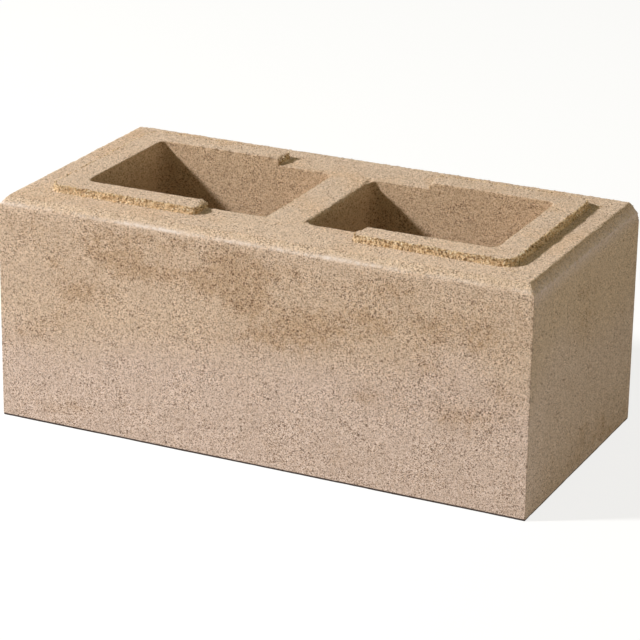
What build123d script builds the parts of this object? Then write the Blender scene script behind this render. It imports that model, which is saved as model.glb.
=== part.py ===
from build123d import *
import os

# A two-core interlocking concrete wall block, moulded as one solid piece.
# The long way of the block is X, its depth is Y and its height is Z, and the origin is the centre of the underside.
# All sizes are in millimetres.

# The block as laid: a course is as high as the bearing band, and the keys stand above it.
length = 495.0
depth = 247.5
course_height = 203.0
upright_edge_radius = 3.0

# The bevel round the top, which shows as a groove between two courses.
bevel = 7.2

# The raised keys, one round each end of the block.
bearing_band = 32.0
key_width = 24.0
key_height = 6.4
key_corner_radius = 12.0
key_end_radius = 4.0
key_draft = 8.0
key_gap = 144.0

# The two cores, a little narrower at the underside than at the top.
web_thickness = 37.0
core_corner_radius = 8.0
core_narrowing = 2.5

# The seats in the underside, which take the keys of the course below.
seat_side_clearance = 1.5
seat_top_clearance = 1.6

# Worked out from the sizes above.
wall_thickness = bearing_band + key_width
core_length = (length - web_thickness) / 2 - wall_thickness
core_width = depth - 2 * wall_thickness
core_centre = (web_thickness + core_length) / 2
key_top = course_height + key_height
half_centre = length / 4
key_outer_length = length / 2 - 2 * bearing_band
key_outer_width = depth - 2 * bearing_band
seat_depth = key_height + seat_top_clearance


def block_body():
    """The outer block up to the bearing band, with rounded upright edges and the bevel round its top."""
    plan = RectangleRounded(length, depth, upright_edge_radius)
    bevelled_plan = RectangleRounded(length - 2 * bevel, depth - 2 * bevel, upright_edge_radius)
    bevel_foot = course_height - bevel
    bevel_ring = loft([Pos(Z=bevel_foot) * plan, Pos(Z=course_height) * bevelled_plan], ruled=True)
    return extrude(plan, bevel_foot) + bevel_ring


def key_plan():
    """The right-hand key's plan, still filled over its core: a rounded rectangle cut off short of mid-length."""
    outline = Pos(X=half_centre) * RectangleRounded(key_outer_length, key_outer_width, key_corner_radius)
    plan = outline - Rectangle(key_gap, depth)
    arm_ends = plan.vertices().group_by(Axis.X)[0]
    return fillet(arm_ends, key_end_radius)


def key():
    """The right-hand key, solid over its core. Its outer sides lean in, so that the mould's head comes away."""
    return extrude(Pos(Z=course_height) * key_plan(), key_height, taper=key_draft)


def core():
    """The right-hand core as a solid to cut away. Its rim is level with the key's top."""
    rim = RectangleRounded(core_length, core_width, core_corner_radius)
    outlet = RectangleRounded(core_length - 2 * core_narrowing, core_width - 2 * core_narrowing, core_corner_radius)
    return Pos(X=core_centre) * loft([outlet, Pos(Z=key_top) * rim], ruled=True)


def seat():
    """The right-hand seat as a solid to cut away: the key's outline with room round it, closed on all four sides.

    Being closed, it takes a key that opens either way, so the block above can be turned round or moved half a length.
    """
    mouth = RectangleRounded(
        key_outer_length + 2 * seat_side_clearance,
        key_outer_width + 2 * seat_side_clearance,
        key_corner_radius + seat_side_clearance,
    )
    return Pos(X=half_centre) * extrude(mouth, seat_depth, taper=key_draft)


def with_mirror(solid):
    """The right-hand solid and its mirror image at the left-hand end."""
    return [solid, mirror(solid, about=Plane.YZ)]


def concrete_block():
    """The whole block: the body, the two keys on it, the cores through both, and the seats under it."""
    block = block_body() + with_mirror(key())
    block -= with_mirror(core())
    return block - with_mirror(seat())


os.makedirs("parts", exist_ok=True)
block = concrete_block()
export_step(block, "parts/concrete_block.step")
print(f"concrete_block: {block.volume / 1e6:.3f} litres, {len(block.faces())} faces")
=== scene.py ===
# %% [markdown]
# # An interlocking concrete wall block
#
# The real block is pressed from damp, sandy concrete in a steel mould and turned out at once. Its faces
# take the smooth steel, its top is packed by a plate with the keys sunk in it, and every edge crumbles a
# little as the mould comes away. That is what this file adds to the plain solid: soft, uneven edges, rough
# key sides, sand, pits and clouds of colour.

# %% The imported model
import math

import bpy
import numpy as np
from mathutils import Matrix, Vector


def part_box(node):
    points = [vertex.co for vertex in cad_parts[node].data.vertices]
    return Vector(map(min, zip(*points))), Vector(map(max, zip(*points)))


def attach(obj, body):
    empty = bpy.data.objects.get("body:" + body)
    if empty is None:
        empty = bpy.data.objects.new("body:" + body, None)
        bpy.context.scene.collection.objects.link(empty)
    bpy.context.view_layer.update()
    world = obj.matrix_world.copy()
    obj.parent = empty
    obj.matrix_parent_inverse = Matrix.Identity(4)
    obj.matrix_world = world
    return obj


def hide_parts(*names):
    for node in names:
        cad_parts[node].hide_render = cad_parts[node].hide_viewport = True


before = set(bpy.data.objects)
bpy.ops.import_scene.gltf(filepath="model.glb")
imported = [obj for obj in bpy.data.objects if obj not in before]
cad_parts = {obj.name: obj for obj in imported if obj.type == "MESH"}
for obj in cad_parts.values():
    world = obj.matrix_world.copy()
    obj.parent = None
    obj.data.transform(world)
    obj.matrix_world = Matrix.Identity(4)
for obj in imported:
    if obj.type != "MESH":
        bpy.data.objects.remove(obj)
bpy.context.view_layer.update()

low, high = (np.array(corner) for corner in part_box("concrete_block"))
print("block from", low.round(4), "to", high.round(4))

# %% [markdown]
# ## Sizes
#
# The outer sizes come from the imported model. The others are the sizes the block was designed with, in
# metres: the bevel round the top, the two raised keys, the cores that narrow downwards and the seats in the
# underside. Only the upright edges are sharper than the 3 mm they were drawn with, because in the photo
# they look crisp.

# %% Sizes in metres
mm = 0.001
length, depth, key_top = high - low
key_height = 6.4 * mm
band_top = key_top - key_height
half = length / 2
side = depth / 2
edge_radius = 0.5 * mm
bevel = 7.2 * mm
band = 32.0 * mm
key_width = 24.0 * mm
key_corner = 12.0 * mm
key_end_corner = 4.0 * mm
key_lean = key_height * math.tan(math.radians(8.0))
arm_end = 72.0 * mm
web = 37.0 * mm
core_corner = 8.0 * mm
core_narrowing = 2.5 * mm
wall = band + key_width
seat_room = 1.5 * mm
seat_depth = key_height + 1.6 * mm
seat_lean = seat_depth * math.tan(math.radians(8.0))
print(f"cores {(half - web / 2 - wall) / mm:.1f} x {(depth - 2 * wall) / mm:.1f} mm")

# %% [markdown]
# ## One half as rings of points
#
# Each half of the block is a square with one core through it, so its skin is worked out as a grid. Columns
# go round the core and rows go over the section: up the core wall, over the key, across the bearing band,
# down the bevel and the face, and back under the block. A row is one closed line round the half. The
# columns crowd together where the arm of the key ends, so that the step there is as sharp as the step along
# its side.

# %% Columns round one half
n_front, n_end, n_web, n_corner = 124, 108, 64, 12
columns = 2 * n_front + n_end + n_web + 4 * n_corner
quarter = np.arange(n_corner) / n_corner * math.pi / 2


def stations(start, end, step_from, step_to, before, across, spread=0.0, crowd=0.5):
    """Places along the front, from start to end.

    With spread 0 they are even up to step_from, even across the step and even after it. With spread 1
    they forget the step and crowd towards the end: start + (end - start) t (1 + crowd (1 - t)).
    """
    stepped = np.concatenate([
        np.linspace(start, step_from, before + 1)[:-1],
        np.linspace(step_from, step_to, across + 1)[:-1],
        np.linspace(step_to, end, n_front - before - across + 1),
    ])
    t = np.linspace(0, 1, n_front + 1)
    loose = start + (end - start) * t * (1 + crowd * (1 - t))
    return stepped + (loose - stepped) * spread


def ring(front_x, y, right_radius, left_radius, square_left=False, crowd=0.0):
    """One closed line round the half, counter-clockwise from the front's left end: x and y of each column.

    A straight side takes the given stations. A corner is a quarter circle, x = r sin a and y = r (1 - cos a).
    Square left corners run to the block's middle plane instead, with half of their columns on each side.
    """
    y = np.broadcast_to(y, front_x.shape)
    first, last = y[0], y[-1]
    left = front_x[0] - left_radius
    s, c = np.sin(quarter), np.cos(quarter)
    t = np.arange(n_end) / n_end
    end_y = (2 * (t - crowd * np.sin(2 * math.pi * t) / (2 * math.pi)) - 1) * (last - right_radius)
    if square_left:
        u = np.arange(n_corner) / n_corner
        corner_x = left + left_radius * np.maximum(1 - 2 * u, 0)
        corner_y = first - left_radius * np.maximum(2 * u - 1, 0)
        front_corner_x = left + left_radius * np.maximum(2 * u - 1, 0)
        front_corner_y = -first + left_radius * np.maximum(1 - 2 * u, 0)
    else:
        corner_x = front_x[0] - left_radius * s
        corner_y = first - left_radius * (1 - c)
        front_corner_x = front_x[0] - left_radius * c
        front_corner_y = -first + left_radius * (1 - s)
    web_y = np.linspace(first - left_radius, left_radius - first, n_web + 1)[:-1]
    x = [front_x[:-1], front_x[-1] + right_radius * s, np.full(n_end, front_x[-1] + right_radius),
         front_x[-1] + right_radius * c, front_x[::-1][:-1], corner_x, np.full(n_web, left), front_corner_x]
    ys = [-y[:-1], -last + right_radius * (1 - c), end_y,
          last - right_radius * (1 - s), y[::-1][:-1], corner_y, web_y, front_corner_y]
    return np.stack([np.concatenate(x), np.concatenate(ys)], axis=1)


def along_front(values):
    """Carries a value per front station round the ring: the same at the back, 1 at the end, 0 at the web."""
    ends = np.ones(2 * n_corner + n_end)
    middle = np.zeros(2 * n_corner + n_web)
    return np.concatenate([values[:-1], ends, values[::-1][:-1], middle])


print(columns, "columns round each half")

# %% [markdown]
# ## The lines that carry the shape
#
# A few rings are enough: the core's rim, the top and foot of the key's side, the bevel's top, the outer
# edge and, underneath, the seat. All the other rows are drawn between them.

# %% Rings of the top
before_arm, across_arm = 34, 6
before_seat, across_seat = 4, 4


def arm_stations(start, end, spread=0.0):
    """Front stations that step where the key's arm ends."""
    return stations(start, end, arm_end, arm_end + key_lean, before_arm, across_arm, spread)


def rounded_arm(x, outer, radius):
    """The key's half width at x: the arm's outer corner is an arc, outer - r + sqrt(r^2 - d^2)."""
    d = np.clip(arm_end + key_end_corner - x, 0, radius)
    return outer - radius + np.sqrt(radius**2 - d**2)


rim_front = arm_stations(web / 2 + core_corner, half - wall - core_corner)
rim = ring(rim_front, side - wall, core_corner, core_corner)
rim_loose = ring(arm_stations(rim_front[0], rim_front[-1], 1.0), side - wall, core_corner, core_corner)
foot_front = arm_stations(web / 2, half - band - key_corner)
foot_y = rounded_arm(foot_front, side - band, key_end_corner)
foot = ring(foot_front, foot_y, key_corner, 10 * mm)
top_y = rounded_arm(foot_front, side - band - key_lean, key_end_corner - key_lean)
brow = ring(foot_front, top_y, key_corner - key_lean, 9 * mm)
bevel_front = arm_stations(10 * mm, half - bevel - edge_radius, 0.85)
bevel_top = ring(bevel_front, side - bevel, edge_radius, 10 * mm, True, 0.35)
outer_front = arm_stations(10 * mm, half - edge_radius, 1.0)
outer = ring(outer_front, side, edge_radius, 10 * mm, True, 0.5)

arm_height = np.interp(np.arange(n_front + 1), [before_arm, before_arm + across_arm], [0, 1])
has_key = along_front(arm_height)
rim_height = band_top + key_height * has_key

# %% Rings of the underside
seat_half = half / 2 - band + seat_room
seat_corner = key_corner + seat_room
seat_left = half / 2 - seat_half


def seat_stations(start, end):
    """Front stations that step where the seat begins, near the web."""
    return stations(start, end, seat_left, seat_left + seat_lean, before_seat, across_seat)


def rounded_seat(x, outer, radius):
    """The seat's half width at x, with its corner by the web rounded as the others are."""
    d = np.clip(seat_left + seat_corner - x, 0, radius)
    return outer - radius + np.sqrt(radius**2 - d**2)


outlet_front = seat_stations(
    web / 2 + core_narrowing + core_corner,
    half - wall - core_narrowing - core_corner)
outlet = ring(outlet_front, side - wall - core_narrowing, core_corner, core_corner)
mouth_front = seat_stations(20 * mm, half - band + seat_room - seat_corner)
mouth_y = rounded_seat(mouth_front, seat_half, seat_corner)
mouth = ring(mouth_front, mouth_y, seat_corner, 10 * mm)
roof_y = rounded_seat(mouth_front, seat_half - seat_lean, seat_corner - seat_lean)
roof = ring(mouth_front, roof_y, seat_corner - seat_lean, 8 * mm)

seat_height = np.interp(np.arange(n_front + 1), [before_seat, before_seat + across_seat], [0, 1])
has_seat = along_front(seat_height)
print("seat", round(2 * seat_half / mm, 1), "mm square and", round(seat_depth / mm, 1), "mm deep")

# %% [markdown]
# ## Rows between the lines
#
# Between two rings every point moves in a straight line, and the rows crowd together near each edge, where
# the shape turns. The key's side and the seat's side are ramps, so a point there takes the lower of two
# heights: that of the ramp along the side, and that of the step at the arm's end.

# %% Rows over the section


def crowded(rows, crowd):
    """Fractions from 0 to 1 that crowd at both ends: t - c sin(2 pi t) / (2 pi)."""
    t = np.linspace(0, 1, rows + 1)
    return t - crowd * np.sin(2 * math.pi * t) / (2 * math.pi)


def rows_between(first, last, t, height):
    """Rows of points from one ring to another, first + (last - first) t, each point at its given height."""
    t = t[:, None]
    flat = first[None] + (last - first)[None] * t[..., None]
    height = np.broadcast_to(height, flat.shape[:2])
    return np.concatenate([flat, height[..., None]], axis=2)


def smooth(low_end, high_end, value):
    """0 below the low end, 1 above the high end, and 3 t^2 - 2 t^3 between them."""
    t = np.clip((value - low_end) / (high_end - low_end), 0, 1)
    return t * t * (3 - 2 * t)


def core_rows(t):
    """Rows down the core's wall, t from 0 at the rim to 1 at the outlet. The width is a straight line in z.

    Below the rim the columns let go of the arm's step. Above the outlet they close up on the seat's step.
    """
    z = rim_height + (seat_depth * has_seat - rim_height) * t[:, None]
    loosen = smooth(0, 30 * mm, key_top - z)[..., None]
    gather = smooth(key_top - 45 * mm, key_top - 12 * mm, key_top - z)[..., None]
    upper = rim + (rim_loose - rim) * loosen
    shrink = (side - wall - core_narrowing) / (side - wall)
    middle = np.array([web / 2 + (half - web / 2 - wall) / 2, 0])
    lower_loose = middle + (upper - middle) * shrink
    lower = lower_loose + (outlet - lower_loose) * gather
    down = (1 - z / key_top)[..., None]
    return np.concatenate([upper + (lower - upper) * down, z[..., None]], axis=2)


core_top_rows = core_rows(np.array([0, 0.7, 1.6, 2.8, 4.4, 6.4]) * mm / key_top)
deep = np.linspace(0, 1, 31)
core_deep_rows = core_rows(6.4 * mm / key_top + (1 - 6.4 * mm / key_top) * deep * (0.45 + 0.55 * deep))
rim_line, outlet_line = core_top_rows[0, :, :2], core_deep_rows[-1, :, :2]

ramp = np.linspace(0, 1, 8)
key_rows = rows_between(rim_line, brow, crowded(15, 0.55), rim_height)
side_rows = rows_between(brow, foot, ramp, band_top + key_height * np.minimum(has_key, 1 - ramp[:, None]))
band_rows = rows_between(foot, bevel_top, crowded(14, 0.5), band_top)
top_rows = np.concatenate([key_rows, side_rows[1:], band_rows[1:]])

seat_ramp = np.linspace(0, 1, 6)
ledge_rows = rows_between(outer, mouth, crowded(10, 0.5), 0.0)
seat_side_rows = rows_between(mouth, roof, seat_ramp, seat_depth * np.minimum(has_seat, seat_ramp[:, None]))
roof_rows = rows_between(roof, outlet_line, crowded(7, 0.4), seat_depth * has_seat)
under_rows = np.concatenate([ledge_rows, seat_side_rows[1:], roof_rows[1:]])

face_foot = band_top - bevel
bevel_t = crowded(7, 0.4)
bevel_rows = rows_between(bevel_top, outer, bevel_t, band_top - bevel * bevel_t[:, None])
face_t = crowded(60, 0.55)
face_rows = rows_between(outer, outer, face_t, face_foot * (1 - face_t[:, None]))
outside = np.roll(np.arange(columns), n_corner // 2)[:columns - n_web - n_corner + 1]
bevel_rows, face_rows = bevel_rows[:, outside], face_rows[:, outside]
print(len(top_rows), "rows over the top,", len(face_rows), "down the face,",
      len(core_deep_rows), "down the core")

# %% [markdown]
# ## From rows to one closed skin
#
# Each sheet of rows becomes two triangles a cell. Away from the edges the columns are halved: there, three
# triangles join two fine cells to a coarse one. The left half is the right half's mirror image, and points
# that fall together are made one, so that the whole skin is closed.

# %% Triangles


def cells(point_ids, closed):
    """Two triangles for each cell between neighbouring rows and columns. A closed sheet joins up."""
    after = np.roll(point_ids, -1, axis=1) if closed else point_ids[:, 1:]
    here = point_ids if closed else point_ids[:, :-1]
    a, b, c, d = here[:-1], here[1:], after[1:], after[:-1]
    return np.concatenate([np.stack(t, axis=-1).reshape(-1, 3) for t in ((a, b, c), (a, c, d))])


def halving(fine, coarse, closed):
    """Joins a row of fine points to one with half as many: three triangles for every second point."""
    f = np.append(fine, fine[0]) if closed else fine
    c = np.append(coarse, coarse[0]) if closed else coarse
    start, middle, end = f[:-2:2], f[1::2], f[2::2]
    first, second = c[:-1], c[1:]
    parts = ((start, first, middle), (middle, first, second), (middle, second, end))
    return np.concatenate([np.stack(t, axis=-1) for t in parts])


skin_points, skin_triangles, skin_crumb = [], [], []


def add_sheet(rows, crumb, closed=True, inward=False, fine_above=None):
    """Adds rows of points and their triangles to the half's skin, and gives back the ids of the points."""
    start = sum(len(part) for part in skin_points)
    ids = start + np.arange(rows.shape[0] * rows.shape[1]).reshape(rows.shape[:2])
    skin_points.append(rows.reshape(-1, 3))
    skin_crumb.append(np.broadcast_to(crumb, rows.shape[:2]).ravel())
    parts = [cells(ids, closed)]
    if fine_above is not None:
        parts.append(halving(fine_above, ids[0], closed))
    triangles = np.concatenate(parts)
    skin_triangles.append(triangles[:, ::-1] if inward else triangles)
    return ids


key_crumb = np.concatenate([np.full(15, 0.0), np.full(8, 1.0), np.full(14, 0.0)])
side_crumb = key_crumb[:, None] * (has_key > 0)
end_crumb = (has_key > 0) & (has_key < 1)
inside_brow = np.arange(len(top_rows))[:, None] <= 22
side_crumb = np.maximum(side_crumb, end_crumb * inside_brow)
add_sheet(top_rows, side_crumb)
rim_ids = add_sheet(core_top_rows, 0.0, inward=True)
add_sheet(core_deep_rows[1:, ::2], 0.0, inward=True, fine_above=rim_ids[-1])
add_sheet(bevel_rows, 0.0, closed=False)
face_ids = add_sheet(face_rows[:4], 0.0, closed=False)
add_sheet(face_rows[4:, ::2], 0.0, closed=False, fine_above=face_ids[-1])
add_sheet(under_rows[:, ::2], 0.0)


def weld(points, triangles, crumb):
    """Merges points that agree to a thousandth of a millimetre, and drops triangles that lose a side."""
    keys = np.round(points / (0.001 * mm)).astype(np.int64)
    _, first, group = np.unique(keys, axis=0, return_index=True, return_inverse=True)
    group = group.ravel()
    merged = np.zeros(len(first))
    np.maximum.at(merged, group, crumb)
    t = group[triangles]
    whole = (t[:, 0] != t[:, 1]) & (t[:, 1] != t[:, 2]) & (t[:, 2] != t[:, 0])
    return points[first], t[whole], merged


right_half = np.concatenate(skin_points)
half_triangles = np.concatenate(skin_triangles)
half_crumb = np.concatenate(skin_crumb)
both = np.concatenate([right_half, right_half * [-1, 1, 1]])
both_triangles = np.concatenate([half_triangles, half_triangles[:, ::-1] + len(right_half)])
points, triangles, crumb = weld(both, both_triangles, np.tile(half_crumb, 2))
points = points + [(low[0] + high[0]) / 2, (low[1] + high[1]) / 2, low[2]]
print(len(points), "points and", len(triangles), "triangles")

pairs = np.sort(np.concatenate([triangles[:, [0, 1]], triangles[:, [1, 2]], triangles[:, [2, 0]]]), axis=1)
edge_uses = np.unique(pairs, axis=0, return_counts=True)[1]
print("edges not shared by two triangles:", int((edge_uses != 2).sum()))

# %% [markdown]
# ## Wear
#
# First a few places get the shape that the mould left or knocked off: the key's arm ends, the top corners
# and the web's rims. Then every edge is softened, because fresh concrete keeps no razor edge. Every point
# moves part of the way to the middle of its neighbours, a few times over: flat faces stay as they are, and
# edges turn soft. How far they go changes from place to place, which gives the crumbled look. The bevel's
# foot, the upright edges and the bottom edge stay crisper than the rest.

# %% Noise, knocked-off places and soft edges


def value_noise(p, size, seed):
    """Smooth random values from -1 to 1: numbers hashed at lattice corners, blended by 3 t^2 - 2 t^3."""
    q = p / size
    cell = np.floor(q).astype(np.int64)
    t = q - cell
    t = t * t * (3 - 2 * t)
    total = np.zeros(len(p))
    for corner in np.ndindex(2, 2, 2):
        c = (cell + corner).astype(np.uint64)
        h = c[:, 0] * np.uint64(73856093) ^ c[:, 1] * np.uint64(19349663) ^ c[:, 2] * np.uint64(83492791)
        h = (h ^ np.uint64(seed * 2654435761 + 974711)) * np.uint64(0x9E3779B97F4A7C15)
        h = (h ^ (h >> np.uint64(29))) * np.uint64(0xBF58476D1CE4E5B9)
        h = (h ^ (h >> np.uint64(32))) & np.uint64(0xFFFFFF)
        share = np.prod(np.where(corner, t, 1 - t), axis=1)
        total += share * h.astype(float)
    return total / 0xFFFFFF * 2 - 1


def neighbour_mean(p):
    """The mean place of each point's neighbours along the skin."""
    ends = np.concatenate([pairs, pairs[:, ::-1]])
    count = np.bincount(ends[:, 0], minlength=len(p))
    sums = [np.bincount(ends[:, 0], weights=p[ends[:, 1], axis], minlength=len(p)) for axis in range(3)]
    return np.stack(sums, axis=1) / count[:, None]


def point_normals(p):
    """Unit normals: the sum of the triangles' cross products round each point."""
    a, b, c = (p[triangles[:, i]] for i in range(3))
    cross = np.cross(b - a, c - a)
    total = np.zeros_like(p)
    for axis in range(3):
        for i in range(3):
            total[:, axis] += np.bincount(triangles[:, i], weights=cross[:, axis], minlength=len(p))
    return total / np.linalg.norm(total, axis=1, keepdims=True)


sharp = points.copy()


def round_rim(p, rim_x, rim_z, radius):
    """Rounds a long rim along y: a point in the corner goes to centre + r (p - centre) / |p - centre|."""
    sign = math.copysign(1, rim_x)
    r = radius * (0.75 + 0.25 * value_noise(p, 30 * mm, 4))
    out = np.maximum(p[:, 0] * sign - (abs(rim_x) - r), 0)
    up = np.maximum(p[:, 2] - (rim_z - r), 0)
    far = np.hypot(out, up)
    near = (np.abs(p[:, 1]) < side - wall) & (out > 0) & (up > 0) & (out < 1.1 * r) & (far > r)
    share = np.where(near, r / np.maximum(far, 1e-9), 1.0)
    moved = p.copy()
    moved[:, 0] += sign * out * (share - 1)
    moved[:, 2] += up * (share - 1)
    return moved


def slump_arm_ends(p, reach):
    """Lets the arm ends slump beside the cores: there the key is sqrt(1 - (1 - u)^2) of its height.

    u goes from 0 at the arm's end to 1 a reach further along. Near the arm's outer side it stays upright.
    """
    u = np.clip((np.abs(p[:, 0]) - arm_end) / reach, 0, 1)
    fallen = smooth(14 * mm, 3 * mm, np.abs(p[:, 1]) - (side - wall)) * (1 - np.sqrt(1 - (1 - u) ** 2))
    moved = p.copy()
    moved[:, 2] -= np.maximum(p[:, 2] - band_top, 0) * fallen
    return moved


def round_corners(p, size, limit):
    """Wears off the top corners: no point there stays further than the limit from a centre inside them."""
    depth_below = band_top - p[:, 2]
    out = [np.maximum(np.abs(p[:, 0]) - (half - size), 0), np.maximum(np.abs(p[:, 1]) - (side - size), 0),
           np.maximum(size - depth_below, 0)]
    far = np.sqrt(out[0] ** 2 + out[1] ** 2 + out[2] ** 2)
    in_front = p[:, 1] < 0
    regained = smooth(5 * mm, np.where(in_front, 9 * mm, 24 * mm), depth_below)
    allowed = limit + 0.9 * mm * in_front + 5 * mm * regained
    share = np.where((out[0] > 0) & (out[1] > 0), np.minimum(allowed / np.maximum(far, 1e-9), 1), 1)
    moved = p.copy()
    moved[:, 0] += np.sign(p[:, 0]) * out[0] * (share - 1)
    moved[:, 1] += np.sign(p[:, 1]) * out[1] * (share - 1)
    moved[:, 2] += out[2] * (share - 1)
    return moved


slump_reach = 7.5 * mm
corner_size = 12 * mm
corner_limit = 13.2 * mm
right_rim_radius = 4.5 * mm
left_rim_radius = 1.6 * mm
points = slump_arm_ends(points, slump_reach)
points = round_corners(points, corner_size, corner_limit)
points = round_rim(points, web / 2, band_top, right_rim_radius)
points = round_rim(points, -web / 2, band_top, left_rim_radius)
patchy = 0.5 + 0.5 * value_noise(points, 14 * mm, 3)
above_bevel_foot = sharp[:, 2] - (band_top - bevel)
from_corner = np.hypot(half - np.abs(sharp[:, 0]), side - np.abs(sharp[:, 1]))
near_bevel_foot = np.abs(above_bevel_foot) < 3 * mm
near_upright_edge = (above_bevel_foot < 0) & (from_corner < 4 * mm)
near_floor = sharp[:, 2] < low[2] + 3 * mm
crisp = near_bevel_foot | near_upright_edge | near_floor
wear = ((0.45 + 0.55 * patchy) * np.where(crisp, 0.3, 1.0))[:, None]
for _ in range(3):
    points = points + 0.5 * wear * (neighbour_mean(points) - points)
sharp_normals = point_normals(sharp)
sunk = -np.einsum("ij,ij->i", points - sharp, sharp_normals)
arris = np.clip(sunk / (0.25 * mm), 0, 1)
at_key_edge = (crumb > 0) & (sharp[:, 2] > key_top + low[2] - 0.3 * mm)
beside_core = np.abs(sharp[:, 1]) < side - wall + 1.5 * mm
at_rim = (sunk > 0.05 * mm) & beside_core & (sharp[:, 2] > band_top - 2 * mm)
arris = np.maximum(arris, 1.0 * at_key_edge + 0.9 * at_rim * (at_key_edge == 0))
print(f"edges sink by up to {sunk.max() / mm:.2f} mm")

# %% [markdown]
# ## What the mould did, place by place
#
# The faces slid along smooth steel. The top was tamped, and shows its sand. The sides of the keys tore as
# the plate came off, so they are coarse and yellow with bare sand. Lime dried in a pale line where the
# bevel meets the face. About the lowest 1.5 mm of the outside is painted dark, in place of the thin shadow
# under the block in the photo. Each of these is a number from 0 to 1 on every point of the skin, which the
# material reads later.

# %% Zones of the skin
x, y, z = sharp.T
lean = sharp_normals
beyond_bevel = np.maximum(np.abs(x) - (half - bevel), np.abs(y) - (side - bevel))
outside_skin = smooth(-1.5 * mm, 0, beyond_bevel)
tamped = smooth(0.8, 0.95, lean[:, 2]) * smooth(band_top - 2 * mm, band_top - 1 * mm, z)
in_core = np.abs(y) < side - wall + 1 * mm
in_core &= (np.abs(x) > web / 2 - 1 * mm) & (np.abs(x) < half - wall + 1 * mm)
inside = in_core * smooth(0.9, 0.5, np.abs(lean[:, 2]))
on_bevel = outside_skin * smooth(face_foot + 0.5 * mm, face_foot + 2 * mm, z) * (1 - tamped)
below_bevel = face_foot - z
lime = np.exp(-(((below_bevel + 1.3 * mm) / (1.4 * mm)) ** 2)) * smooth(0.35 * mm, -0.35 * mm, below_bevel)
lime *= 0.42 + 0.35 * value_noise(sharp, 24 * mm, 11) + 0.3 * value_noise(sharp, 6 * mm, 12)
lime *= 1 - 0.55 * smooth(60 * mm, 170 * mm, x)
lime += 0.03 * smooth(6 * mm, 0, below_bevel) * (below_bevel > -0.5 * mm)
on_end = smooth(0.5, 0.8, np.abs(lean[:, 0]))
haze = 0.28 * smooth(-8 * mm, -3 * mm, below_bevel) * smooth(15 * mm, 0, below_bevel)
haze += 0.1 * np.exp(-(((below_bevel - 0.8 * mm) / (0.9 * mm)) ** 2))
# The end faces are also made paler towards the front.
haze += 0.07 * smooth(-60 * mm, -122 * mm, y) * (below_bevel > 0)
lime = np.clip(lime * (1 - 0.7 * on_end) + haze * on_end, 0, 1) * outside_skin * (1 - inside)
print("tamped", int(tamped.sum()), "points, inside", int(inside.sum()), "points")

# %% [markdown]
# ## Stains on the front
#
# The front has brown clouds where the mix was wetter, mostly in the upper half, and is paler and pinker
# below. They are soft ovals whose edges are broken up by noise. The other faces get clouds
# from noise.

# %% Clouds of colour
# Each oval: centre x and z, half length, half height (mm), tilt (degrees), strength.
front_clouds = [
    (-127, 164, 25, 10, -12, 1.0), (-78, 159, 34, 6, 2, 0.8), (-40, 158, 18, 9, 0, 0.6),
    (-16, 166, 17, 16, -30, 1.0), (-4, 148, 18, 13, 0, 0.95), (5, 117, 36, 8, 6, 0.75),
    (52, 136, 24, 11, 8, 0.8), (108, 146, 26, 11, 0, 0.7), (186, 151, 34, 20, 0, 0.7),
    (-187, 151, 15, 10, 0, 0.75), (-164, 128, 22, 9, 12, 0.8), (-197, 96, 20, 7, 32, 0.6),
    (-232, 78, 17, 9, 20, 0.6), (-172, 21, 38, 6, 12, 0.3), (188, 80, 34, 9, 0, 0.6),
    (97, 82, 22, 7, 0, 0.5), (72, 22, 44, 12, 0, 0.35), (222, 106, 16, 10, 10, 0.5),
    (-90, 184, 60, 8, 0, 0.4), (27, 178, 26, 8, 0, 0.5), (-225, 180, 24, 10, 0, 0.35),
    (118, 180, 46, 9, 0, 0.4), (150, 118, 50, 10, -8, 0.35),
]
front_stain = np.zeros(len(sharp))
for cloud_x, cloud_z, long_half, short_half, tilt, strength in front_clouds:
    across = (x - cloud_x * mm) / mm
    above = (z - cloud_z * mm) / mm
    c, s = math.cos(math.radians(tilt)), math.sin(math.radians(tilt))
    reach = ((across * c + above * s) / long_half) ** 2 + ((above * c - across * s) / short_half) ** 2
    front_stain += strength * (0.75 * np.exp(-reach) + 0.3 * np.exp(-reach / 4))
on_front = smooth(-0.4, -0.8, lean[:, 1]) * (1 - inside)
broken = value_noise(sharp, 26 * mm, 13) + 0.7 * value_noise(sharp, 11 * mm, 14)
broken += 0.5 * value_noise(sharp, 5 * mm, 15)
elsewhere = smooth(0.1, 1.5, broken + 0.6 * value_noise(sharp, 70 * mm, 16))
front_stain = front_stain * (0.85 + 0.35 * broken) + 0.1 * broken
stain = np.clip(front_stain, 0, 1) * on_front + 0.35 * elsewhere * (1 - on_front)
# The end faces are also made darker towards the bottom and towards the back.
stain += 0.3 * on_end * smooth(60 * mm, 0, z) + 0.12 * on_end * smooth(-100 * mm, 60 * mm, y)
stain += 0.1 * on_front * smooth(70 * mm, 10 * mm, below_bevel)
stain = np.clip(stain, 0, 1) * (1 - tamped)
warmth = smooth(-35 * mm, 35 * mm, z - 95 * mm - 0.12 * x + 22 * mm * value_noise(sharp, 60 * mm, 17))
print(f"stained share of the front {stain[on_front > 0.5].mean():.2f}")

# %% [markdown]
# ## Relief
#
# The last two millimetres: faces that are never quite flat, sand in the top, torn key sides, and edges that
# have lost crumbs. A few larger chips are listed one by one: most where the photo shows some, and a few that
# are guesses, on the back, the left end and the back corner, which it doesn't show well or at all.

# %% Sand, crumbs and chips


def lumps(size, seed):
    """Noise with pits only: 0 over half of the skin, and down to -1 in the rest."""
    return -np.maximum(value_noise(sharp, size, seed), 0)


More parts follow.
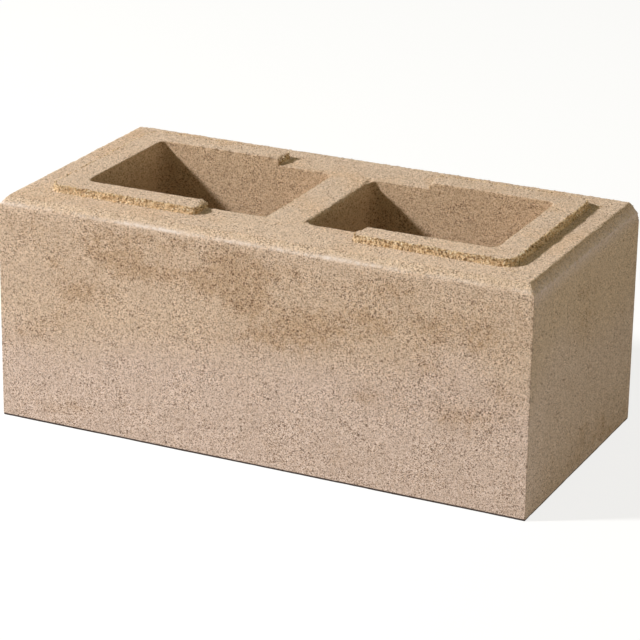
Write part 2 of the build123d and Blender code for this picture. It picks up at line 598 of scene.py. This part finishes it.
normals = point_normals(points)
relief = 0.12 * value_noise(sharp, 45 * mm, 5) + (0.05 + 0.09 * tamped) * value_noise(sharp, 3.2 * mm, 6)
relief += crumb * (0.65 * value_noise(sharp, 2.2 * mm, 7) + 0.5 * value_noise(sharp, 5.5 * mm, 8) - 0.25)
steel_edge = (below_bevel > 4 * mm) * outside_skin
relief += arris * (1 - 0.85 * steel_edge) * (0.95 * lumps(2.6 * mm, 9) + 0.45 * lumps(7 * mm, 10) + 0.15)
relief += inside * 0.1 * value_noise(sharp, 6 * mm, 18)

# Each chip: x, y, z of its middle, its radius and its depth, in mm.
chips = [
    (-156, -124, 197, 4.5, 1.2), (-150, -124, 196, 3.0, 0.9), (247, -123, 176, 2.2, 0.4),
    (247, -123, 171, 2.0, 0.3), (247, -123, 151, 1.6, 0.4), (247, -123, 118, 1.8, 0.5),
    (247, -123, 66, 1.8, 0.5), (-71, 82, 209, 5.0, 1.2), (-80, 68, 209, 4.0, 1.5),
    (-120, 67, 209, 4.5, 1.6), (-134, 67, 209, 3.0, 1.2), (-104, 67, 209, 3.0, 1.2),
    (-92, 67, 209, 3.0, 1.3), (-148, 67, 209, 3.5, 1.0), (-70, -90, 208, 5.0, 1.5),
    (-66, 66, 203, 3.0, 1.0), (-50, 67, 203, 3.5, 1.0), (-32, 67, 203, 3.5, 1.0), (38, 67, 203, 3.5, 1.2),
    (55, 67, 203, 3.0, 0.9), (68, -78, 209, 4.0, 1.2), (-247, 60, 196, 4.5, 1.2), (-248, 20, 2, 4.0, 1.2),
    (60, 124, 196, 4.5, 1.3), (-130, 124, 2, 5.0, 1.4), (248, 122, 198, 5.0, 1.8),
    (247, 123, 201, 4.0, 1.5), (-240, 122, 60, 4.0, 1.0),
]
chipped = np.zeros(len(sharp))
for chip_x, chip_y, chip_z, radius, depth_of_chip in chips:
    away = np.linalg.norm(sharp / mm - [chip_x, chip_y, chip_z], axis=1) / radius
    away += 0.25 * value_noise(sharp, 2.4 * mm, 19)
    bowl = np.clip(1 - away**2, 0, 1)
    relief -= depth_of_chip * bowl
    chipped = np.maximum(chipped, bowl)
points = points + normals * (relief * mm)[:, None]
points[:, 2] = np.maximum(points[:, 2], low[2])
print(f"relief from {relief.min():.2f} to {relief.max():.2f} mm")


def make_mesh(name, verts, tris, attributes=(), soft=True):
    """Puts points and triangles into a mesh object at the origin. Each attribute is a number per point."""
    mesh = bpy.data.meshes.new(name)
    mesh.vertices.add(len(verts))
    mesh.vertices.foreach_set("co", np.ascontiguousarray(verts, dtype=np.float32).ravel())
    mesh.loops.add(3 * len(tris))
    mesh.loops.foreach_set("vertex_index", np.ascontiguousarray(tris, dtype=np.int32).ravel())
    mesh.polygons.add(len(tris))
    mesh.polygons.foreach_set("loop_start", np.arange(0, 3 * len(tris), 3, dtype=np.int32))
    mesh.polygons.foreach_set("use_smooth", np.full(len(tris), soft))
    mesh.update(calc_edges=True)
    for label, values in attributes:
        layer = mesh.attributes.new(label, "FLOAT", "POINT")
        layer.data.foreach_set("value", np.ascontiguousarray(values, dtype=np.float32))
    mesh.validate()
    piece = bpy.data.objects.new(name, mesh)
    bpy.context.scene.collection.objects.link(piece)
    return piece


notched = smooth(1.8 * mm, 0.5 * mm, np.hypot(half - np.abs(x), side - np.abs(y))) * (1 - tamped)
# Painted light: the top is painted paler towards the front and the right, where more light falls.
painted_light_on_top = tamped * smooth(60 * mm, -110 * mm, y) * (0.35 + 0.65 * smooth(-120 * mm, 160 * mm, x))
# Where the foot is painted nearly black, as the shadow under the block.
at_floor = np.clip(1 - (z - low[2]) / (3 * mm), 0, 1) * outside_skin * (1 - inside) * (1 - 0.25 * on_end)
zones = [
    ("painted_light_on_top", painted_light_on_top), ("at_floor", at_floor), ("on_end", on_end), ("crumb", crumb),
    ("notched", notched), ("tamped", tamped), ("inside", inside), ("on_bevel", on_bevel), ("lime", lime),
    ("stain", stain), ("warmth", warmth), ("chipped", chipped),
]
block = make_mesh("moulded_block", points, triangles, zones)
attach(block, "root")
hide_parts("concrete_block")
print("block is", (points.max(axis=0) - points.min(axis=0)).round(4))

# %% [markdown]
# ## Sand, pits and streaks as node groups
#
# Concrete is sand of many colours held by pale cement paste. A Voronoi texture splits the surface into
# cells, and each cell is one grain with its own shade. The same cells give the relief. Pits are a few cells
# of a wider pattern that are sunk and painted dark, as painted shade in the holes. Streaks are noise
# stretched upright, the way the block slid out of the mould.

# %% Helpers for nodes


def new_group(name, inputs, outputs):
    """An empty node group. Inputs are (name, kind, value) and outputs are (name, kind)."""
    group = bpy.data.node_groups.new(name, "ShaderNodeTree")
    for label, kind, value in inputs:
        socket = group.interface.new_socket(label, in_out="INPUT", socket_type="NodeSocket" + kind)
        if value is not None:
            socket.default_value = value
    for label, kind in outputs:
        group.interface.new_socket(label, in_out="OUTPUT", socket_type="NodeSocket" + kind)
    return group, group.nodes.new("NodeGroupInput").outputs, group.nodes.new("NodeGroupOutput").inputs


def add(tree, kind, sockets=None, **settings):
    """Adds a node, applies its settings, and links or sets the inputs that are given by name or number."""
    node = tree.nodes.new("ShaderNode" + kind)
    for key, value in settings.items():
        setattr(node, key, value)
    for key, value in (sockets or {}).items():
        if isinstance(value, bpy.types.NodeSocket):
            tree.links.new(value, node.inputs[key])
        else:
            node.inputs[key].default_value = value
    return node


def calc(tree, operation, a, b=0.0, c=0.0):
    """One step of arithmetic on values."""
    return add(tree, "Math", {0: a, 1: b, 2: c}, operation=operation).outputs[0]


def fade(tree, value, start, end):
    """0 at the start and 1 at the end, with a soft shoulder at each. The start may be the larger."""
    sockets = {"Value": value, "From Min": start, "From Max": end}
    return add(tree, "MapRange", sockets, interpolation_type="SMOOTHSTEP").outputs["Result"]


def blend(tree, share, first, second, how="MIX"):
    """A colour that goes from the first to the second with the share."""
    sockets = {"Factor": share, "A": first, "B": second}
    node = tree.nodes.new("ShaderNodeMix")
    node.data_type = "RGBA"
    node.blend_type = how
    for key, value in sockets.items():
        socket = next(s for s in node.inputs if s.name == key and s.enabled)
        if isinstance(value, bpy.types.NodeSocket):
            tree.links.new(value, socket)
        elif key == "Factor":
            socket.default_value = value
        else:
            socket.default_value = (*value, 1)
    return next(s for s in node.outputs if s.enabled)


# %% Sand grains
sand, come, go = new_group(
    "sand_grains", [("Vector", "Vector", None), ("Size", "Float", 0.0013)],
    [("Shade", "Float"), ("Kind", "Float"), ("Height", "Float")])
per_metre = calc(sand, "DIVIDE", 1.0, come["Size"])
grains = add(sand, "TexVoronoi", {"Vector": come["Vector"], "Scale": per_metre})
parts = add(sand, "SeparateColor", {"Color": grains.outputs["Color"]})
sand.links.new(parts.outputs[0], go["Shade"])
sand.links.new(parts.outputs[1], go["Kind"])
dome = calc(sand, "SUBTRACT", 1.0, calc(sand, "POWER", grains.outputs["Distance"], 2.0))
raised = calc(sand, "MULTIPLY_ADD", parts.outputs[2], 0.7, dome)
sand.links.new(calc(sand, "MULTIPLY", raised, come["Size"]), go["Height"])

# %% Pits
pit, come, go = new_group(
    "air_pits", [("Vector", "Vector", None), ("Spacing", "Float", 0.006), ("Share", "Float", 0.3)],
    [("Mask", "Float")])
per_metre = calc(pit, "DIVIDE", 1.0, come["Spacing"])
wobble = add(pit, "TexNoise", {"Vector": come["Vector"], "Scale": 900.0, "Detail": 1.0})
moved = add(pit, "VectorMath", {0: wobble.outputs["Color"], 1: (0.5, 0.5, 0.5)}, operation="SUBTRACT")
shift = add(pit, "VectorMath", {0: moved.outputs[0], "Scale": 0.0024}, operation="SCALE")
place = add(pit, "VectorMath", {0: come["Vector"], 1: shift.outputs[0]}, operation="ADD")
holes = add(pit, "TexVoronoi", {"Vector": place.outputs[0], "Scale": per_metre})
parts = add(pit, "SeparateColor", {"Color": holes.outputs["Color"]})
chosen = calc(pit, "LESS_THAN", parts.outputs[0], come["Share"])
rim_at = calc(pit, "MULTIPLY_ADD", parts.outputs[1], 0.12, 0.08)
inner = calc(pit, "MULTIPLY", rim_at, 0.45)
bowl = add(pit, "MapRange", {"Value": holes.outputs["Distance"], "From Min": rim_at, "From Max": inner},
           interpolation_type="SMOOTHSTEP")
pit.links.new(calc(pit, "MULTIPLY", bowl.outputs["Result"], chosen), go["Mask"])

# %% Streaks
streak, come, go = new_group("mould_streaks", [("Vector", "Vector", None)], [("Mask", "Float")])
drawn = add(streak, "VectorMath", {0: come["Vector"], 1: (1, 1, 0.05)}, operation="MULTIPLY")
sockets = {"Vector": drawn.outputs[0], "Scale": 420.0, "Detail": 3.0, "Roughness": 0.6}
lines = add(streak, "TexNoise", sockets)
streak.links.new(fade(streak, lines.outputs[0], 0.35, 0.65), go["Mask"])

# %% [markdown]
# ## The concrete
#
# The colour is built up as on the real block: cement paste that is pinker below and warmer above, brown
# where it was wet, yellow where the sand lies bare, pale along the lime line. Every grain then lightens or
# darkens it. Some of the colour is painted light and shade: the top is paler towards the front and the right,
# the end bevels are darker, the pits, chips and notches are dark, the foot is nearly black, and part of the
# cores' darker, browner colour is painted shade too.

# %% Concrete
concrete = bpy.data.materials.new("buff_concrete")
concrete.use_nodes = True
tree = concrete.node_tree
shader = tree.nodes["Principled BSDF"]
shader.inputs["Roughness"].default_value = 0.92
shader.inputs["Specular IOR Level"].default_value = 0.25
shader.inputs["Diffuse Roughness"].default_value = 0.6
where = add(tree, "TexCoord").outputs["Object"]


def zone(name):
    """The value of one of the skin's zones."""
    return add(tree, "Attribute", attribute_name=name).outputs["Fac"]


def placed(group, **values):
    """A node group placed in the concrete, reading the block's own coordinates."""
    node = tree.nodes.new("ShaderNodeGroup")
    node.node_tree = group
    tree.links.new(where, node.inputs["Vector"])
    for label, value in values.items():
        node.inputs[label].default_value = value
    return node.outputs


def cloudy(scale, detail, roughness=0.5):
    """Noise from 0 to 1 over the block, with about this many lumps to the metre."""
    sockets = {"Vector": where, "Scale": scale, "Detail": detail, "Roughness": roughness}
    return add(tree, "TexNoise", sockets).outputs[0]


fine = placed(sand, Size=0.6 * mm)
coarse = placed(sand, Size=1.05 * mm)
pits = placed(pit, Spacing=6.5 * mm, Share=0.35)["Mask"]
streaks = placed(streak)["Mask"]
smudge = cloudy(130.0, 5.0, 0.65)

paste = blend(tree, zone("warmth"), (0.693, 0.538, 0.455), (0.672, 0.508, 0.385))
mottle = calc(tree, "MULTIPLY", calc(tree, "SUBTRACT", smudge, 0.5), 2.6)
uneven = calc(tree, "MULTIPLY_ADD", zone("warmth"), 0.25, 0.2)
uneven = calc(tree, "MULTIPLY_ADD", zone("stain"), 0.6, uneven)
patch = calc(tree, "MULTIPLY_ADD", mottle, uneven, zone("stain"))
wet = fade(tree, patch, 0.0, 1.08)
paste = blend(tree, calc(tree, "MULTIPLY", wet, 0.62), paste, (0.47, 0.3, 0.175))
paste = blend(tree, calc(tree, "MULTIPLY", streaks, 0.12), paste, (0.44, 0.34, 0.23))
ochre = fade(tree, cloudy(24.0, 4.0), 0.45, 0.68)
sandy = blend(tree, ochre, (0.658, 0.502, 0.382), (0.662, 0.479, 0.336))
sandy = blend(tree, calc(tree, "MULTIPLY", zone("painted_light_on_top"), 0.6), sandy, (0.755, 0.578, 0.444))
paste = blend(tree, zone("tamped"), paste, sandy)
# Painted shade: the bevels on the ends are painted darker and browner than the front's.
slope = blend(tree, zone("on_end"), (0.65, 0.5, 0.372), (0.6, 0.425, 0.3))
paste = blend(tree, zone("on_bevel"), paste, slope)
# The cores' walls are painted darker and browner, partly as painted shade deep in the cores.
paste = blend(tree, zone("inside"), paste, (0.56, 0.4, 0.266))
paste = blend(tree, zone("crumb"), paste, (0.76, 0.565, 0.36))

shade_ramp = add(tree, "ValToRGB", {0: fine["Shade"]})
shade_ramp.color_ramp.elements[0].color = (0.13, 0.07, 0.035, 1)
shade_ramp.color_ramp.elements[1].color = (1.43, 1.56, 1.7, 1)
middle_grey = shade_ramp.color_ramp.elements.new(0.25)
middle_grey.color = (0.88, 0.83, 0.775, 1)
patches = fade(tree, cloudy(45.0, 3.0), 0.35, 0.65)
open_grain = calc(tree, "MULTIPLY_ADD", patches, 0.25, 0.75)
open_grain = calc(tree, "MULTIPLY_ADD", wet, 0.3, open_grain)
open_grain = calc(tree, "MINIMUM", open_grain, 1.0)
grained = blend(tree, open_grain, paste, shade_ramp.outputs[0], "MULTIPLY")
kind_ramp = add(tree, "ValToRGB", {0: coarse["Kind"]})
kind_ramp.color_ramp.elements[0].color = (0.22, 0.14, 0.09, 1)
kind_ramp.color_ramp.elements[1].color = (1.08, 1.04, 0.96, 1)
plain = kind_ramp.color_ramp.elements.new(0.13)
plain.color = (1, 1, 1, 1)
plain = kind_ramp.color_ramp.elements.new(0.85)
plain.color = (1.05, 1.04, 1.03, 1)
dark_grains = calc(tree, "MULTIPLY_ADD", patches, 0.4, 0.4)
dark_grains = calc(tree, "MULTIPLY_ADD", wet, 0.5, dark_grains)
dark_grains = calc(tree, "MULTIPLY_ADD", zone("tamped"), 0.25, dark_grains)
dark_grains = calc(tree, "MINIMUM", dark_grains, 1.0)
grained = blend(tree, dark_grains, grained, kind_ramp.outputs[0], "MULTIPLY")
bites = cloudy(330.0, 3.0)
notch = calc(tree, "MULTIPLY", zone("notched"), fade(tree, bites, 0.55, 0.66))
# Painted shade in the hollows: pits, chips and notches are painted dark.
painted_hollow_shade = calc(tree, "MULTIPLY", pits, 0.75)
for mask, darkness in ((zone("chipped"), 0.35), (notch, 0.6)):
    painted_hollow_shade = calc(tree, "MAXIMUM", painted_hollow_shade, calc(tree, "MULTIPLY", mask, darkness))
grained = blend(tree, painted_hollow_shade, grained, (0.2, 0.125, 0.075))
flaked = calc(tree, "MULTIPLY_ADD", fade(tree, bites, 0.36, 0.6), 0.9, 0.55)
caked = calc(tree, "MULTIPLY", zone("lime"), flaked)
lime_colour = blend(tree, zone("on_end"), (0.85, 0.76, 0.72), (0.84, 0.72, 0.76))
grained = blend(tree, caked, grained, lime_colour)
# Painted shadow: the foot is painted nearly black, as the shadow under the block.
painted_foot_shadow = calc(tree, "MULTIPLY", fade(tree, zone("at_floor"), 0.33, 0.5), 0.95)
grained = blend(tree, painted_foot_shadow, grained, (0.055, 0.036, 0.034))
tree.links.new(grained, shader.inputs["Base Color"])

rough_here = calc(tree, "MULTIPLY_ADD", zone("crumb"), 0.55, 0.1)
rough_here = calc(tree, "MULTIPLY_ADD", zone("tamped"), 0.17, rough_here)
sand_height = calc(tree, "ADD", fine["Height"], calc(tree, "MULTIPLY", coarse["Height"], 0.5))
height = calc(tree, "MULTIPLY", sand_height, rough_here)
height = calc(tree, "MULTIPLY_ADD", pits, -0.0007, height)
bump = add(tree, "Bump", {"Strength": 1.0, "Distance": 1.0, "Height": height})
tree.links.new(bump.outputs[0], shader.inputs["Normal"])
block.data.materials.append(concrete)
print(len(tree.nodes), "nodes in the concrete")

# %% [markdown]
# ## Loose sand
#
# On the torn key sides and along worn edges whole grains stand out, and their shadows make those places
# sparkle. They are real little stones here: one twenty-sided stone, turned, stretched and set partly into
# the skin thousands of times, as a single mesh made from arrays.

# %% Grains that stand out
random = np.random.default_rng(7)
golden = (1 + math.sqrt(5)) / 2
stone = np.array([
    (-1, golden, 0), (1, golden, 0), (-1, -golden, 0), (1, -golden, 0), (0, -1, golden), (0, 1, golden),
    (0, -1, -golden), (0, 1, -golden), (golden, 0, -1), (golden, 0, 1), (-golden, 0, -1), (-golden, 0, 1),
]) / math.sqrt(1 + golden**2)
stone_faces = np.array([
    (0, 11, 5), (0, 5, 1), (0, 1, 7), (0, 7, 10), (0, 10, 11), (1, 5, 9), (5, 11, 4), (11, 10, 2),
    (10, 7, 6), (7, 1, 8), (3, 9, 4), (3, 4, 2), (3, 2, 6), (3, 6, 8), (3, 8, 9), (4, 9, 5), (2, 4, 11),
    (6, 2, 10), (8, 6, 7), (9, 8, 1),
])


def random_turns(count):
    """Random rotation matrices: R = I + 2 w K + 2 K K for a unit quaternion, K its cross product matrix."""
    q = random.normal(size=(count, 4))
    w, a, b, c = (q / np.linalg.norm(q, axis=1, keepdims=True)).T
    zero = np.zeros(count)
    k = np.stack([zero, -c, b, c, zero, -a, -b, a, zero], axis=1).reshape(count, 3, 3)
    return np.eye(3) + 2 * w[:, None, None] * k + 2 * k @ k


def sprinkle(weight, count, small, large, lift):
    """Middles and sizes of grains, scattered over the triangles in proportion to area times weight."""
    a, b, c = (points[triangles[:, i]] for i in range(3))
    cross = np.cross(b - a, c - a)
    area = np.linalg.norm(cross, axis=1)
    chance = area * weight[triangles].mean(axis=1)
    chosen = random.choice(len(triangles), size=count, p=chance / chance.sum())
    u, v = random.random((2, count))
    flip = u + v > 1
    u, v = np.where(flip, 1 - u, u)[:, None], np.where(flip, 1 - v, v)[:, None]
    middle = a[chosen] * (1 - u - v) + b[chosen] * u + c[chosen] * v
    radius = small + (large - small) * random.random(count) ** 2
    outward = cross[chosen] / area[chosen][:, None]
    return middle + outward * (radius * lift)[:, None], radius


def set_stones(middle, radius):
    """All stones as one mesh: each is stretched by 0.7 to 1.3 along its axes, turned and moved."""
    count = len(radius)
    stretched = stone[None] * (radius[:, None] * random.uniform(0.7, 1.3, (count, 3)))[:, None, :]
    turned = np.einsum("nij,nkj->nki", random_turns(count), stretched) + middle[:, None, :]
    faces = stone_faces[None] + 12 * np.arange(count)[:, None, None]
    return turned.reshape(-1, 3), faces.reshape(-1, 3)


at_brow = crumb * (z > key_top + low[2] - 1.2 * mm)
from_side = np.abs(np.abs(y) - (side - band))
from_end = np.abs(np.abs(x) - (half - band))
beside_end = np.abs(x) > half - band - key_corner
from_side = np.where(beside_end, np.minimum(from_side, from_end), from_side)
in_reach = (np.abs(x) > arm_end) & (np.abs(y) < side - band + 8 * mm) & (np.abs(x) < half - band + 8 * mm)
at_foot = tamped * (np.abs(z - band_top) < 0.5 * mm) * in_reach * smooth(7 * mm, 0, from_side)
worn = arris * (1 - on_front) * (z > 100 * mm)
batches = [sprinkle(crumb, 4200, 0.35 * mm, 0.85 * mm, 0.25),
           sprinkle(at_brow, 1700, 0.4 * mm, 0.85 * mm, 0.5),
           sprinkle(at_foot, 700, 0.3 * mm, 0.7 * mm, 0.2),
           sprinkle(worn * (1 - crumb), 2000, 0.3 * mm, 0.6 * mm, 0.1),
           sprinkle(tamped, 1200, 0.3 * mm, 0.6 * mm, -0.1)]
middles = np.concatenate([b[0] for b in batches])
radii = np.concatenate([b[1] for b in batches])
sand_verts, sand_tris = set_stones(middles, radii)
sand_verts[:, 2] = np.maximum(sand_verts[:, 2], low[2])
tint = np.repeat(random.random(len(radii)), 12)
bareness = np.repeat(np.repeat([1.0, 0.9, 0.6, 0.3, 0.0], [len(b[1]) for b in batches]), 12)
looks = [("tint", tint), ("bareness", bareness)]
loose_sand = make_mesh("loose_sand", sand_verts, sand_tris, looks, soft=False)
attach(loose_sand, "root")
print(len(radii), "grains,", len(sand_tris), "triangles")

# %% Bare sand
bare_sand = bpy.data.materials.new("bare_sand")
bare_sand.use_nodes = True
tree = bare_sand.node_tree
shader = tree.nodes["Principled BSDF"]
shader.inputs["Roughness"].default_value = 0.65
shader.inputs["Specular IOR Level"].default_value = 0.35
where = add(tree, "TexCoord").outputs["Object"]
quartz = add(tree, "ValToRGB", {0: zone("tint")})
quartz.color_ramp.elements[0].color = (0.16, 0.09, 0.045, 1)
quartz.color_ramp.elements[1].color = (0.95, 0.86, 0.7, 1)
for at, colour in ((0.25, (0.4, 0.25, 0.12, 1)), (0.5, (0.74, 0.52, 0.29, 1)), (0.8, (0.9, 0.72, 0.48, 1))):
    quartz.color_ramp.elements.new(at).color = colour
pasted = add(tree, "ValToRGB", {0: zone("tint")})
pasted.color_ramp.elements[0].color = (0.42, 0.31, 0.22, 1)
pasted.color_ramp.elements[1].color = (0.74, 0.6, 0.47, 1)
sand_colour = blend(tree, zone("bareness"), pasted.outputs[0], quartz.outputs[0])
tree.links.new(sand_colour, shader.inputs["Base Color"])
skin = placed(sand, Size=0.4 * mm)
height = calc(tree, "MULTIPLY", skin["Height"], 0.15)
bump = add(tree, "Bump", {"Strength": 1.0, "Distance": 1.0, "Height": height})
tree.links.new(bump.outputs[0], shader.inputs["Normal"])
loose_sand.data.materials.append(bare_sand)

# %% [markdown]
# ## Floor, light and camera
#
# The block stands on a white floor. One lamp at the left throws the shadows into the cores, a weak
# reflector brightens the right end, and the camera stands where the straight edges of the photo put it.

# %% Floor
floor_mesh = bpy.data.meshes.new("floor")
corners = [(-9, -9, low[2]), (9, -9, low[2]), (9, 9, low[2]), (-9, 9, low[2])]
floor_mesh.from_pydata(corners, [], [(0, 1, 2, 3)])
floor = bpy.data.objects.new("floor", floor_mesh)
bpy.context.scene.collection.objects.link(floor)


def seen_directly(nodes, links):
    """1 for a ray from the camera, or one that gloss or glass sends on, and 0 for light on objects."""
    path = nodes.new("ShaderNodeLightPath")
    either = nodes.new("ShaderNodeMath")
    either.operation = "MAXIMUM"
    links.new(path.outputs["Is Camera Ray"], either.inputs[0])
    links.new(path.outputs["Is Glossy Ray"], either.inputs[1])
    all_three = nodes.new("ShaderNodeMath")
    all_three.operation = "MAXIMUM"
    links.new(either.outputs[0], all_three.inputs[0])
    links.new(path.outputs["Is Transmission Ray"], all_three.inputs[1])
    return all_three.outputs[0]


paper = bpy.data.materials.new("white_paper")
paper.use_nodes = True
nodes, links = paper.node_tree.nodes, paper.node_tree.links
nodes.clear()
output = nodes.new("ShaderNodeOutputMaterial")
sheet = nodes.new("ShaderNodeBsdfDiffuse")
sheet.inputs["Color"].default_value = (0.38, 0.38, 0.38, 1)
shown = nodes.new("ShaderNodeBsdfDiffuse")
shown.inputs["Color"].default_value = (0.24, 0.24, 0.24, 1)
glow = nodes.new("ShaderNodeEmission")
glow.inputs["Strength"].default_value = 0.8
white = nodes.new("ShaderNodeAddShader")
choice = nodes.new("ShaderNodeMixShader")
links.new(shown.outputs[0], white.inputs[0])
links.new(glow.outputs[0], white.inputs[1])
links.new(seen_directly(nodes, links), choice.inputs[0])
links.new(sheet.outputs[0], choice.inputs[1])
links.new(white.outputs[0], choice.inputs[2])
links.new(choice.outputs[0], output.inputs["Surface"])
floor_mesh.materials.append(paper)

# %% Light
world = bpy.data.worlds.new("studio")
bpy.context.scene.world = world
world.use_nodes = True
nodes, links = world.node_tree.nodes, world.node_tree.links
nodes.clear()
output = nodes.new("ShaderNodeOutputWorld")
room = nodes.new("ShaderNodeBackground")
room.inputs["Color"].default_value = (1, 0.94, 0.58, 1)
room.inputs["Strength"].default_value = 0.237
backdrop = nodes.new("ShaderNodeBackground")
backdrop.inputs["Color"].default_value = (1, 1, 1, 1)
backdrop.inputs["Strength"].default_value = 1.0
choice = nodes.new("ShaderNodeMixShader")
links.new(seen_directly(nodes, links), choice.inputs[0])
links.new(room.outputs[0], choice.inputs[1])
links.new(backdrop.outputs[0], choice.inputs[2])
links.new(choice.outputs[0], output.inputs["Surface"])


def add_lamp(name, place, size, watts, colour, shape):
    """A flat lamp that faces the block."""
    data = bpy.data.lights.new(name, "AREA")
    data.shape = shape
    data.size, data.size_y = size
    data.energy = watts
    data.color = colour
    lamp = bpy.data.objects.new(name, data)
    bpy.context.scene.collection.objects.link(lamp)
    place = Vector(place)
    turn = (Vector((0, 0, 0.1)) - place).to_track_quat("-Z", "Y").to_matrix().to_4x4()
    lamp.matrix_world = Matrix.Translation(place) @ turn
    print(name, "at", tuple(round(v, 2) for v in place), "m,", watts, "W")


add_lamp("left_lamp", (-2.90, -1.95, 2.36), (0.4, 0.4), 224, (1, 0.99, 0.98), "ELLIPSE")
add_lamp("right_reflector", (2.6, -0.5, 0.28), (2.4, 0.5), 10.4, (1, 0.93, 0.79), "RECTANGLE")

# %% Camera
azimuth, elevation, roll = (math.radians(a) for a in (25.277, 20.504, 0.881))
distance, across_shift, up_shift = 2.503, 0.00305, 0.08531
focal_pixels, picture_pixels = 2823.6, 640
level_share = math.cos(elevation)
back = Vector((math.sin(azimuth) * level_share, -math.cos(azimuth) * level_share, math.sin(elevation)))
level = Vector((math.cos(azimuth), math.sin(azimuth), 0))
upward = back.cross(level)
right = level * math.cos(roll) + upward * math.sin(roll)
up = upward * math.cos(roll) - level * math.sin(roll)
camera_data = bpy.data.cameras.new("camera")
camera_data.sensor_width = 36
camera_data.lens = 36 * focal_pixels / picture_pixels
camera = bpy.data.objects.new("camera", camera_data)
bpy.context.scene.collection.objects.link(camera)
place = back * distance + right * across_shift + up * up_shift
camera.matrix_world = Matrix.Translation(place) @ Matrix((right, up, back)).transposed().to_4x4()
bpy.context.scene.camera = camera

bpy.context.scene.view_settings.view_transform = "Standard"
